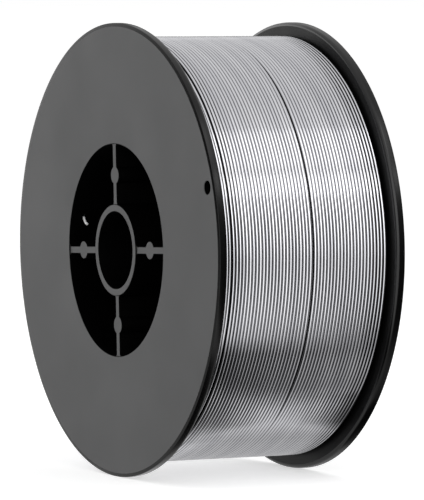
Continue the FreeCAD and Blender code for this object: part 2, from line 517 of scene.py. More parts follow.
@dataclass(frozen=True)
class HubSection:
    """The open hub as seen along the axis: the central tube, the ribs with their posts, and the barrel."""

    bore_radius: float = 8.5 * MM
    tube_wall: float = 1.6 * MM
    barrel_inner_radius: float = 23.4 * MM
    barrel_wall: float = 2.0 * MM
    rib_thickness: float = 1.6 * MM
    rib_count: int = 4
    rib_angle: float = math.radians(2.5)
    rib_root_round: float = 0.5 * MM
    post_radius: float = 2.0 * MM
    post_circle_radius: float = 16.5 * MM
    rib_root_steps: int = 5
    post_steps: int = 18
    tube_steps: tuple[int, int] = (6, 32)
    barrel_steps: tuple[int, int] = (8, 56)

    @property
    def tube_radius(self) -> float:
        """The tube's outer radius."""
        return self.bore_radius + self.tube_wall

    @property
    def barrel_radius(self) -> float:
        """The barrel's outer radius, on which the wire is wound."""
        return self.barrel_inner_radius + self.barrel_wall

    def side(self, slimmed: float) -> np.ndarray:
        """The upper side of a rib along +X, with its post, from the tube's wall to the barrel's.

        Args:
            slimmed: How much is taken off the side, as the rounding of its edge does.

        Returns:
            Array of rows X, Z, with the same number of points for every value of slimmed.
        """
        height = self.rib_thickness / 2 - slimmed
        root = self.rib_root_round + slimmed
        post = self.post_radius - slimmed
        near = math.sqrt((self.tube_radius + root) ** 2 - (height + root) ** 2)
        far = math.sqrt((self.barrel_inner_radius - root) ** 2 - (height + root) ** 2)
        near_angle, far_angle = math.atan2(height + root, near), math.atan2(height + root, far)
        meeting = math.asin(height / post)
        return np.concatenate([
            arc((near, height + root), root, math.pi + near_angle, 1.5 * math.pi, self.rib_root_steps),
            arc((self.post_circle_radius, 0), post, math.pi - meeting, meeting, self.post_steps),
            arc((far, height + root), root, -0.5 * math.pi, far_angle, self.rib_root_steps),
        ])

    def rib_sides(self, rib: int, slimmed: float) -> tuple[np.ndarray, np.ndarray]:
        """Both sides of one rib, from the tube outwards.

        Args:
            rib: Which rib.
            slimmed: How much is taken off each side.

        Returns:
            Two arrays of rows X, Z: the side that faces on round the hub, and the side that faces back.
        """
        angle = self.rib_angle + rib * FULL_TURN / self.rib_count
        side = self.side(slimmed)
        return turned(side, angle), turned(side * (1, -1), angle)

    def outline(self, part: HubPart, rib: int, slimmed: float) -> np.ndarray:
        """The closed outline of one rib with its post, or of the opening after it.

        Args:
            part: Which of the two.
            rib: Which rib.
            slimmed: How much is taken off each rib's sides.

        Returns:
            Array of rows X, Z.
        """
        onward, _ = self.rib_sides(rib, slimmed)
        _, after = self.rib_sides(rib + part, slimmed)
        at_barrel = arc_between(onward[-1], after[-1], self.barrel_steps[part])
        at_tube = arc_between(after[0], onward[0], self.tube_steps[part])
        return np.concatenate([onward, at_barrel, after[::-1], at_tube])

    def wall_circle(self, place: int, slimmed: float) -> np.ndarray:
        """The whole circle of the tube or the barrel, through the corners of all ribs.

        Args:
            place: 0 for the tube's outside, -1 for the barrel's inside.
            slimmed: How much is taken off each rib's sides.

        Returns:
            Array of rows X, Z.
        """
        at_rib, at_opening = self.barrel_steps if place else self.tube_steps
        runs = []
        for rib in range(self.rib_count):
            onward, back = self.rib_sides(rib, slimmed)
            _, after = self.rib_sides(rib + 1, slimmed)
            runs += [back[[place]], arc_between(back[place], onward[place], at_rib)]
            runs += [onward[[place]], arc_between(onward[place], after[place], at_opening)]
        return np.concatenate(runs)


@dataclass
class SpoolBody:
    """The moulding: two flanges, the barrel between them, and the open hub with its tube, ribs and posts."""

    plastics: dict[Surface, MouldedPlastic]
    hub: HubSection = HubSection()
    flange_thickness: float = 2.1 * MM
    rim_bevel: float = 0.1 * MM
    rim_bevel_inwards: float = 0.8 * MM
    rim_corner: Span = (0.1 * MM, 0.06 * MM)
    rim_corner_steps: int = 4
    rim_inner_round: float = 0.8 * MM
    rim_inner_steps: int = 5
    rib_recess: float = 0.25 * MM
    end_hole_radius: float = 1.5 * MM
    end_hole_from_rim: float = 3.2 * MM
    end_hole_angle: float = math.radians(19.2)
    mould_edge: float = 0.12 * MM
    steps_round: int = 288
    bore_steps: int = 96
    end_hole_steps: int = 40
    mould_edge_steps: int = 3
    sharp_angle: float = math.radians(40)
    level_from: float = math.cos(math.radians(2))
    draft: MeshDraft = field(default_factory=MeshDraft, init=False)
    half_width: float = field(init=False)
    flange_radius: float = field(init=False)

    def __post_init__(self) -> None:
        """Take the width and the flanges' radius from the frame."""
        low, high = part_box("spool")
        self.half_width = (high.y - low.y) / 2
        self.flange_radius = min(high.x - low.x, high.z - low.z) / 2

    def edge_circle(self, radius: float) -> np.ndarray:
        """An outline round the axis, as fine as the rims."""
        return circle(radius, self.steps_round)

    def bore_circle(self, grow: float) -> np.ndarray:
        """The bore's outline, this much wider."""
        return circle(self.hub.bore_radius + grow, self.bore_steps)

    def barrel_circle(self, grow: float) -> np.ndarray:
        """The outline of the barrel's inside, this much wider."""
        return self.hub.wall_circle(-1, self.mould_edge) * (1 + grow / self.hub.barrel_inner_radius)

    def tube_circle(self, grow: float) -> np.ndarray:
        """The outline of the tube's outside, this much narrower."""
        return self.hub.wall_circle(0, self.mould_edge) * (1 - grow / self.hub.tube_radius)

    def end_hole_outline(self, grow: float) -> np.ndarray:
        """The small hole's outline, this much wider."""
        centre = (self.flange_radius - self.end_hole_from_rim) * heading(self.end_hole_angle)
        return circle(self.end_hole_radius + grow, self.end_hole_steps, centre)

    def edge_levels(self) -> list[Span]:
        """Steps of a small rounded edge.

        Returns:
            Pairs of the distance in from the face and the widening there, from the face inwards.
        """
        angles = np.linspace(0, math.pi / 2, self.mould_edge_steps + 1)
        return [(self.mould_edge * (1 - math.cos(a)), self.mould_edge * (1 - math.sin(a))) for a in angles]

    def add_wall(self, outline: Outline, levels: Sequence[Span]) -> None:
        """Add a wall inside the hub.

        Args:
            outline: Gives the wall's outline for a widening.
            levels: Pairs of a place along the axis and the widening there.
        """
        rings = [on_plane(outline(grow), depth) for depth, grow in levels]
        self.draft.add_rings(rings, [Surface.HUB] * (len(rings) - 1))

    def add_passage(self, outline: Outline, end: float) -> None:
        """Add the wall of a passage that runs through the hub, with rounded edges.

        Args:
            outline: Gives the passage's outline for a widening.
            end: Distance of the passage's two ends from the spool's middle.
        """
        near = [(inset - end, grow) for inset, grow in self.edge_levels()]
        self.add_wall(outline, near + [(-depth, grow) for depth, grow in reversed(near)])

    def add_recess_wall(self, outline: Outline, side: Side) -> None:
        """Add the low wall from a flange's face down to the ribs' ends."""
        levels = [*self.edge_levels(), (self.rib_recess, 0.0)]
        self.add_wall(outline, [(side * (self.half_width - inset), grow) for inset, grow in levels])

    def add_rim(self, side: Side) -> None:
        """Add one flange's rim, from its outer face round to its inner face.

        Args:
            side: Which flange.
        """
        profile = [(self.half_width, self.flange_radius - self.rim_bevel_inwards)]
        corner_width, corner_drop = self.rim_corner
        for angle in np.linspace(0, math.pi / 2, self.rim_corner_steps + 1):
            reach = self.flange_radius - corner_drop * (1 - math.sin(angle))
            profile.append((self.half_width - self.rim_bevel - corner_width * (1 - math.cos(angle)), reach))
        inner_plane = self.half_width - self.flange_thickness
        for angle in np.linspace(math.pi / 2, 0, self.rim_inner_steps + 1):
            reach = self.flange_radius - self.rim_inner_round * (1 - math.sin(angle))
            profile.append((inner_plane + self.rim_inner_round * (1 - math.cos(angle)), reach))
        rings = [on_plane(self.edge_circle(reach), side * depth) for depth, reach in profile]
        rim_bands = self.rim_corner_steps + 1
        kinds = [Surface.BEVEL] + [Surface.RIM] * rim_bands + [Surface.LIP] * self.rim_inner_steps
        self.draft.add_rings(rings, kinds)

    def add_flange(self, side: Side) -> None:
        """Add one flange's two flat faces and its rim.

        Args:
            side: Which flange.
        """
        edge = self.mould_edge
        outer_plane, inner_plane = side * self.half_width, side * (self.half_width - self.flange_thickness)
        outer = [self.edge_circle(self.flange_radius - self.rim_bevel_inwards), self.barrel_circle(edge)]
        inner_rim, barrel = self.flange_radius - self.rim_inner_round, self.hub.barrel_radius
        inner = [self.edge_circle(inner_rim), self.edge_circle(barrel)]
        if side is Side.NEAR:
            outer.append(self.end_hole_outline(edge))
            inner.append(self.end_hole_outline(0))
            rings = [
                on_plane(self.end_hole_outline(grow), inset - self.half_width)
                for inset, grow in self.edge_levels()
            ]
            rings.append(on_plane(self.end_hole_outline(0), inner_plane))
            self.draft.add_rings(rings, [Surface.FACE] * (len(rings) - 2) + [Surface.HUB])
        self.draft.add_plate([on_plane(loop, outer_plane) for loop in outer], Surface.FACE)
        self.draft.add_plate([on_plane(loop, inner_plane) for loop in inner], Surface.INNER)
        self.add_rim(side)

    def add_hub_end(self, side: Side) -> None:
        """Add what shows of the hub at one end: the tube's end and, a little deeper, those of the ribs.

        Args:
            side: Which end.
        """
        tube_end = [self.tube_circle(self.mould_edge), self.bore_circle(self.mould_edge)]
        self.draft.add_plate([on_plane(loop, side * self.half_width) for loop in tube_end], Surface.FACE)
        self.add_recess_wall(self.barrel_circle, side)
        self.add_recess_wall(self.tube_circle, side)
        rib_plane = side * (self.half_width - self.rib_recess)
        for rib in range(self.hub.rib_count):
            outline = self.hub.outline(HubPart.RIB, rib, self.mould_edge)
            self.draft.add_plate([on_plane(outline, rib_plane)], Surface.FACE)

    def build(self) -> Object:
        """Make the whole moulding.

        Returns:
            The finished piece.
        """
        for side in Side:
            self.add_flange(side)
            self.add_hub_end(side)
        barrel = self.edge_circle(self.hub.barrel_radius)
        depth = self.half_width - self.flange_thickness
        self.draft.add_rings([on_plane(barrel, -depth), on_plane(barrel, depth)], [Surface.HUB])
        for rib in range(self.hub.rib_count):
            opening = partial(self.hub.outline, HubPart.OPENING, rib)
            self.add_passage(opening, self.half_width - self.rib_recess)
        self.add_passage(self.bore_circle, self.half_width)
        materials = [self.plastics[kind].build() for kind in Surface]
        piece = self.draft.build("spool_body", materials)
        WireInnerEnd(self.hub, self.flange_thickness).cut_start_hole(piece, Surface.HUB)
        piece.data.set_sharp_from_angle(angle=self.sharp_angle)
        normals = np.empty(3 * len(piece.data.polygons), np.float32)
        piece.data.polygons.foreach_get("normal", normals)
        piece.data.polygons.foreach_set("use_smooth", np.abs(normals[1::3]) < self.level_from)
        return dress(piece, "spool")


@dataclass
class CentreLine:
    """The line that a wire follows.

    Fields: its points and, at each of them or once for all, two unit vectors square to the wire and to each
    other.
    """

    points: np.ndarray
    across: np.ndarray
    up: np.ndarray


@dataclass
class Tube:
    """A round wire swept along a line."""

    radius: float
    sides: int

    def sections(self, line: CentreLine) -> np.ndarray:
        """Circles about each point of a line.

        Args:
            line: The wire's centre line.

        Returns:
            Array of points by sides by 3.
        """
        angles = np.linspace(0, FULL_TURN, self.sides, endpoint=False)
        return (
            line.points[:, None]
            + self.radius * np.cos(angles)[None, :, None] * line.across[:, None]
            + self.radius * np.sin(angles)[None, :, None] * line.up[:, None]
        )

    def build(self, name: str, line: CentreLine, tone: np.ndarray, material: Material) -> Object:
        """Make the swept wire as a piece of the winding, closed by flat ends, with its UV map along it.

        Args:
            name: Name of the piece.
            line: The wire's centre line.
            tone: At each point, how bright the wire is, from 0 to 1.
            material: The wire's finish.

        Returns:
            The finished piece.
        """
        sections = self.sections(line)
        count = len(line.points)
        ring, side = np.meshgrid(np.arange(count - 1), np.arange(self.sides), indexing="ij")
        after = (side + 1) % self.sides
        corners = np.stack([ring, ring + 1, ring + 1, ring], axis=-1) * self.sides
        corners += np.stack([side, side, after, after], axis=-1)
        last = (count - 1) * self.sides
        caps = [list(range(self.sides)), list(range(last + self.sides - 1, last - 1, -1))]
        mesh = bpy.data.meshes.new(name)
        mesh.from_pydata(sections.reshape(-1, 3).tolist(), [], corners.reshape(-1, 4).tolist() + caps)
        mesh.polygons.foreach_set("use_smooth", [True] * ((count - 1) * self.sides) + [False] * 2)
        self.lay_out(mesh, line.points, ring, side)
        tones = mesh.attributes.new(TURN_TONE, "FLOAT", "POINT")
        tones.data.foreach_set("value", np.repeat(tone, self.sides).astype(np.float32))
        mesh.materials.append(material)
        mesh.validate()
        return dress(link_object(name, mesh), "wire_coil")

    def lay_out(self, mesh: Mesh, points: np.ndarray, ring: np.ndarray, side: np.ndarray) -> None:
        """Write the UV map: U is the way along the wire and V the way round it, in metres.

        Args:
            mesh: The swept wire.
            points: Points of its centre line.
            ring: For each face, the number of its first ring.
            side: For each face, the number of its first side.
        """
        steps = np.linalg.norm(np.diff(points, axis=0), axis=1)
        along = np.concatenate([[0], np.cumsum(steps)])
        round_step = FULL_TURN * self.radius / self.sides
        u = np.stack([along[ring], along[ring + 1], along[ring + 1], along[ring]], axis=-1)
        v = np.stack([side, side, side + 1, side + 1], axis=-1) * round_step
        layout = np.zeros((len(mesh.loops), 2), np.float32)
        layout[: u.size] = np.stack([u, v], axis=-1).reshape(-1, 2)
        mesh.uv_layers.new(name=WIRE_UV).data.foreach_set("uv", layout.ravel())


@dataclass(frozen=True)
class Layer:
    """One layer of the winding, made as one long wire.

    Fields: name of its piece, how far its wire lies below the outermost layer, part of a turn by which it
    lies further along the axis, steps in each turn, sides of the wire, and seed of its unevenness.
    """

    name: str
    below: float
    shift: float
    steps: int
    sides: int
    seed: int


@dataclass
class Winding:
    """The wound wire: an outer layer that shows, the layer under it, and the plain turned inside; the last
    two get a darker copy of the wire's finish, as painted shade.

    Two neighbouring turns of the outer layer stand a little apart, most where the seam between them faces
    seam_middle. One of its first turns is sunk, and both of its ends are tucked in.
    """

    finish: DrawnWire
    inside_shaded_finish: DrawnWire
    wire_radius: float = WIRE_RADIUS
    turn_gap: float = 0.008 * MM
    turns: int = 49
    outer_layer: Layer = Layer("wire_outer_layer", 0, 0, 128, 14, 7)
    under_layer: Layer = Layer("wire_under_layer", WIRE_RADIUS * math.sqrt(3), 0.5, 96, 8, 8)
    seam_turn: float = 26.6
    seam_gap: float = 0.3 * MM
    seam_middle: float = math.radians(8)
    seam_reach: float = math.radians(42)
    seam_fade: float = math.radians(25)
    seam_share_elsewhere: float = 0.1
    seam_opens_over: float = 0.4
    sunk_turn: float = 2.31
    sunk_reach: float = 0.6
    sunk_fade: float = 0.25
    sunk_depth: float = 0.25 * MM
    tucked_turns: float = 0.06
    tucked_depth: float = 0.25 * MM
    wander: float = 0.02 * MM
    waves: tuple[tuple[int, float], ...] = ((2, 0.5), (3, 0.35), (5, 0.2))
    wave_drift: float = 0.15
    unevenness: float = 0.012 * MM
    end_angle: float = math.radians(247.7)
    core_below: float = 1.4 * MM
    core_inner_radius: float = 25.45 * MM
    core_steps: int = 192
    core_sharp_angle: float = math.radians(30)
    unevenness_room: float = 2.5
    cloud_share: float = 0.55
    cloud_count: int = 10
    cloud_contrast: float = 0.13
    cloud_lengths: Span = (18 * MM, 70 * MM)
    cloud_widths: Span = (3 * MM, 14 * MM)
    inside_shaded_material: Material = field(init=False)
    inner_plane: float = field(init=False)
    outer_radius: float = field(init=False)

    def __post_init__(self) -> None:
        """Take the winding's place from the frame."""
        low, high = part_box("wire_coil")
        self.inner_plane = high.y
        self.outer_radius = (high.z - low.z) / 2
        # the darker copy of the wire's finish is painted shade for the layers under the outside
        self.inside_shaded_material = self.inside_shaded_finish.build()

    def turn_depths(self, turn: np.ndarray, angle: np.ndarray) -> np.ndarray:
        """Place along the axis of each point of a layer.

        Args:
            turn: Number of turns laid before the point, with its fraction.
            angle: The point's angle round the axis.

        Returns:
            The Y of the wire's centre there.
        """
        pitch = 2 * self.wire_radius + self.turn_gap
        regular = -self.inner_plane + self.wire_radius + pitch * turn
        away = np.abs((angle - self.seam_middle + math.pi) % FULL_TURN - math.pi)
        share = np.clip(1 - (away - self.seam_reach) / self.seam_fade, self.seam_share_elsewhere, 1)
        opened = np.clip((turn - self.seam_turn) / self.seam_opens_over, 0, 1)
        return regular + self.seam_gap * share * opened

    def turn_drops(self, turn: np.ndarray) -> np.ndarray:
        """How far each point of a layer lies below its other turns.

        Args:
            turn: Number of turns laid before the point, with its fraction.

        Returns:
            The drop there: at the sunken place, and at both ends, which are tucked in.
        """
        from_end = np.minimum(turn - turn[0], turn[-1] - turn)
        sunk = np.clip((self.sunk_reach - np.abs(turn - self.sunk_turn)) / self.sunk_fade, 0, 1)
        return self.sunk_depth * sunk + self.tucked_depth * np.clip(1 - from_end / self.tucked_turns, 0, 1)

    def clouds(self, random: np.random.Generator, angle: np.ndarray, depth: np.ndarray) -> np.ndarray:
        """Soft light and dark clouds over the winding, longer along the wire than across it.

        Args:
            random: The layer's source of numbers.
            angle: Angle of each point round the axis.
            depth: Its place along the axis.

        Returns:
            How light each point is, about 0.5 on average.
        """
        total = np.full(len(angle), 0.5)
        for _ in range(self.cloud_count):
            length = random.uniform(*self.cloud_lengths)
            width = random.uniform(*self.cloud_widths)
            phase = random.uniform(0, FULL_TURN)
            waves_round = round(FULL_TURN * self.outer_radius / length)
            total += self.cloud_contrast * np.sin(waves_round * angle + FULL_TURN * depth / width + phase)
        return total

    def build_layer(self, layer: Layer, material: Material) -> Object:
        """Make one layer.

        Args:
            layer: Which layer.
            material: The wire's finish.

        Returns:
            The finished piece.
        """
        random = np.random.default_rng(layer.seed)
        turn = np.linspace(0, self.turns, self.turns * layer.steps + 1)
        angle = self.end_angle + FULL_TURN * turn
        depth = self.turn_depths(turn + layer.shift, angle)
        radius = self.outer_radius - self.wire_radius - layer.below - self.unevenness_room * self.unevenness
        height = radius - self.turn_drops(turn + layer.shift)
        whole = np.arange(self.turns + 1)
        height += np.interp(turn, whole, random.normal(0, self.unevenness, len(whole)))
        for count, share in self.waves:
            phase = random.uniform(0, FULL_TURN)
            drift = random.uniform(-self.wave_drift, self.wave_drift)
            depth += self.wander * share * np.sin(count * angle + phase + drift * turn)
        tone = (1 - self.cloud_share) * np.interp(turn, whole, random.uniform(0, 1, len(whole)))
        tone += self.cloud_share * self.clouds(random, angle, depth)
        outward = np.column_stack([np.cos(angle), np.zeros(len(turn)), np.sin(angle)])
        line = CentreLine(outward * height[:, None] + AXIS * depth[:, None], outward, AXIS)
        return Tube(self.wire_radius, layer.sides).build(layer.name, line, tone, material)

    def build_outer_layer(self) -> Object:
        """Make the layer that shows."""
        return self.build_layer(self.outer_layer, self.finish.build())

    def build_under_layer(self) -> Object:
        """Make the layer under it, which lies in its grooves."""
        return self.build_layer(self.under_layer, self.inside_shaded_material)

    def build_core(self) -> Object:
        """Make the plain inside, as one turned ring.

        Returns:
            The finished piece.
        """
        outside = self.outer_radius - 2 * self.wire_radius - self.core_below
        corners = [
            (-self.inner_plane, self.core_inner_radius),
            (-self.inner_plane, outside),
            (self.inner_plane, outside),
            (self.inner_plane, self.core_inner_radius),
        ]
        draft = MeshDraft()
        rings = [on_plane(circle(reach, self.core_steps), y) for y, reach in corners]
        draft.add_rings([*rings, rings[0]], [0] * len(rings))
        piece = draft.build("winding_core", [self.inside_shaded_material])
        piece.data.set_sharp_from_angle(angle=self.core_sharp_angle)
        return dress(piece, "wire_coil")


@dataclass
class WireInnerEnd:
    """The wire's inner end, which comes through the barrel into the hub as a short bright hook."""

    hub: HubSection
    flange_thickness: float
    wire_radius: float = 0.3 * MM
    start_angle: float = math.radians(165.5)
    hole_clearance: float = 0.4 * MM
    hole_from_flange: float = 0.57 * MM
    buried_length: float = 4.0 * MM
    first_leg_angle: float = math.radians(-50.9)
    first_leg_length: float = 0.66 * MM
    second_leg_angle: float = math.radians(-21.3)
    second_leg_length: float = 0.6 * MM
    bend_radius: float = 1.2 * MM
    bend_steps: int = 10
    hole_sides: int = 24
    wire_sides: int = 20

    @property
    def hole_radius(self) -> float:
        """Radius of the start hole in the barrel."""
        return self.wire_radius + self.hole_clearance

    @property
    def depth(self) -> float:
        """The Y of the hook and of its hole."""
        low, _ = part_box("spool")
        return low.y + self.flange_thickness + self.hole_from_flange + self.hole_radius

    @property
    def way_in(self) -> np.ndarray:
        """Unit vector in X and Z along which the wire comes into the hub."""
        return heading(self.first_leg_angle)

    @property
    def wall_point(self) -> np.ndarray:
        """X and Z of the place where the wire leaves the barrel's inside."""
        return self.hub.barrel_inner_radius * heading(self.start_angle)

    def stand(self, points: np.ndarray) -> CentreLine:
        """Stand a line up at the hook's place along the axis.

        Args:
            points: Rows X, Z of the line.

        Returns:
            The centre line.
        """
        path = on_plane(points, self.depth)
        along = np.gradient(path, axis=0)
        along /= np.linalg.norm(along, axis=1)[:, None]
        return CentreLine(path, AXIS, np.cross(along, AXIS))

    def way(self) -> np.ndarray:
        """The hook's way.

        Returns:
            Array of rows X, Z, from inside the winding to the tip.
        """
        first = self.way_in
        corner = self.wall_point + first * self.first_leg_length
        middle = corner + np.array([-first[1], first[0]]) * self.bend_radius
        quarter = math.pi / 2
        bend = arc(
            middle, self.bend_radius, self.first_leg_angle - quarter, self.second_leg_angle - quarter,
            self.bend_steps)
        start = self.wall_point - first * self.buried_length
        tip = bend[-1] + heading(self.second_leg_angle) * self.second_leg_length
        return np.concatenate([[start], bend, [tip]])

    def cut_start_hole(self, spool: Object, kind: Surface) -> None:
        """Cut the slanted hole for the wire through the barrel.

        Args:
            spool: The moulding.
            kind: The kind of surface that the hole's wall gets.
        """
        start = self.wall_point - self.way_in * self.buried_length
        end = self.wall_point + self.way_in * self.first_leg_length
        line = self.stand(np.array([start, end]))
        sections = Tube(self.hole_radius, self.hole_sides).sections(line)
        draft = MeshDraft()
        draft.add_rings(sections, [kind])
        for section in sections:
            draft.add_face(range(draft.add_points(section), len(draft.points)), kind, smooth=False)
        cutter = draft.build("start_hole_cutter", spool.data.materials)
        cut = spool.modifiers.new("start_hole", "BOOLEAN")
        cut.object = cutter
        cut.operation = "DIFFERENCE"
        cut.solver = "EXACT"
        whole = spool.data
        evaluated = spool.evaluated_get(bpy.context.evaluated_depsgraph_get())
        spool.data = bpy.data.meshes.new_from_object(evaluated)
        spool.modifiers.clear()
        spool.data.name = spool.name
        bpy.data.meshes.remove(whole)
        bpy.data.meshes.remove(cutter.data)

    def build(self, finish: DrawnWire) -> Object:
        """Make the hook.

        Args:
            finish: The wire's finish.

        Returns:
            The finished piece.
        """
        line = self.stand(self.way())
        tone = np.ones(len(line.points))
        return Tube(self.wire_radius, self.wire_sides).build("wire_inner_end", line, tone, finish.build())


@dataclass(frozen=True)
class SoftBox:
    """A large soft lamp that points at the spool.

    Fields: name, compass direction round +Z counted from +X towards +Y, height above the horizon, distance,
    width, height, radiance, where 1 shows as white, and whether reflections show it.
    """

    name: str
    bearing: float
    elevation: float
    distance: float
    width: float
    height: float
    radiance: float
    mirrored: bool = True

    def build(self) -> Object:
        """Make the lamp.

        Returns:
            The lamp, which the camera doesn't see.
        """
        data = bpy.data.lights.new(self.name, "AREA")
        data.shape = "RECTANGLE"
        data.size = self.width
        data.size_y = self.height
        data.energy = self.radiance * math.pi * self.width * self.height
        lamp = link_object(self.name, data)
        bearing, elevation = math.radians(self.bearing), math.radians(self.elevation)
        level = math.cos(elevation)
        away = Vector((math.cos(bearing) * level, math.sin(bearing) * level, math.sin(elevation)))
        lamp.location = away * self.distance
        lamp.rotation_euler = away.to_track_quat("Z", "Y").to_euler()
        lamp.visible_camera = False
        lamp.visible_glossy = self.mirrored
        return lamp


@dataclass(frozen=True)
class Stop:
    """One line across a level card, at one X, with its tones from front to back.

    Fields: X of the line, Y of the middle of each change of tone, and the tones, one more than the changes.
    """

    x: float
    edges: tuple[float, ...]
    tones: tuple[float, ...]

    def row(self, height: float, reach: float, softness: float) -> CardRow:
        """The line's corners, from front to back.

        Args:
            height: Height of the card.
            reach: Y of its far edge, and of its near edge with the sign turned.
            softness: Half of the width of each change of tone.

        Returns:
            Rows X, Y, Z and tone.
        """
        inner = [edge + shift for edge in self.edges for shift in (-softness, softness)]
        tones = [tone for tone in self.tones for _ in range(2)]
        return tuple((self.x, y, height, tone) for y, tone in zip([-reach, *inner, reach], tones))


@dataclass(frozen=True)
class Card:
    """A card round the set that only reflections see, as the bright and dark parts of a light tent, or as a
    painted reflection of the floor's light and of the spool's shadow on it.

    Fields: name, and rows of corners, each X, Y, Z and a tone, where 0 is black and 1 shows as white. The
    tone changes evenly from corner to corner.
    """

    name: str
    rows: tuple[CardRow, ...]

    @classmethod
    def upright(
        cls, name: str, bearings: Span, distance: float, levels: Sequence[Span]
    ) -> "Card":
        """A card that stands round the set between two compass directions.

        Args:
            name: Its name.
            bearings: The directions of its two edges in degrees, counted from +X towards +Y.
            distance: How far it is from the axis.
            levels: Pairs of a height and the tone there, from its foot upwards.

        Returns:
            The card.
        """
        start, end = (math.radians(bearing) for bearing in bearings)
        ways = arc((0, 0), distance, start, end, CARD_STEPS)
        return cls(name, tuple(tuple((x, y, height, tone) for x, y in ways) for height, tone in levels))

    @classmethod
    def level(cls, name: str, height: float, reach: float, softness: float, stops: Sequence[Stop]) -> "Card":
        """A level card from -reach to reach along Y, whose changes of tone are twice softness wide."""
        return cls(name, tuple(stop.row(height, reach, softness) for stop in stops))

    def build(self) -> Object:
        """Make the card.

        Returns:
            The card.
        """
        material, graph = new_material(self.name)
        tone = graph.add("ShaderNodeAttribute", attribute_name=CARD_TONE).outputs["Fac"]
        graph.show(graph.add("ShaderNodeEmission", {"Strength": tone}).outputs["Emission"])
        corners = np.array(self.rows)
        rows, columns, _ = corners.shape
        first = (np.arange(rows - 1)[:, None] * columns + np.arange(columns - 1)).reshape(-1, 1)
        mesh = bpy.data.meshes.new(self.name)
        faces = first + np.array([0, 1, columns + 1, columns])
        mesh.from_pydata(corners[..., :3].reshape(-1, 3).tolist(), [], faces.tolist())
        tones = mesh.attributes.new(CARD_TONE, "FLOAT", "POINT")
        tones.data.foreach_set("value", corners[..., 3].ravel().astype(np.float32))
        mesh.materials.append(material)
        card = link_object(self.name, mesh)
        card.visible_camera = False
        card.visible_diffuse = False
        card.visible_shadow = False
        return card


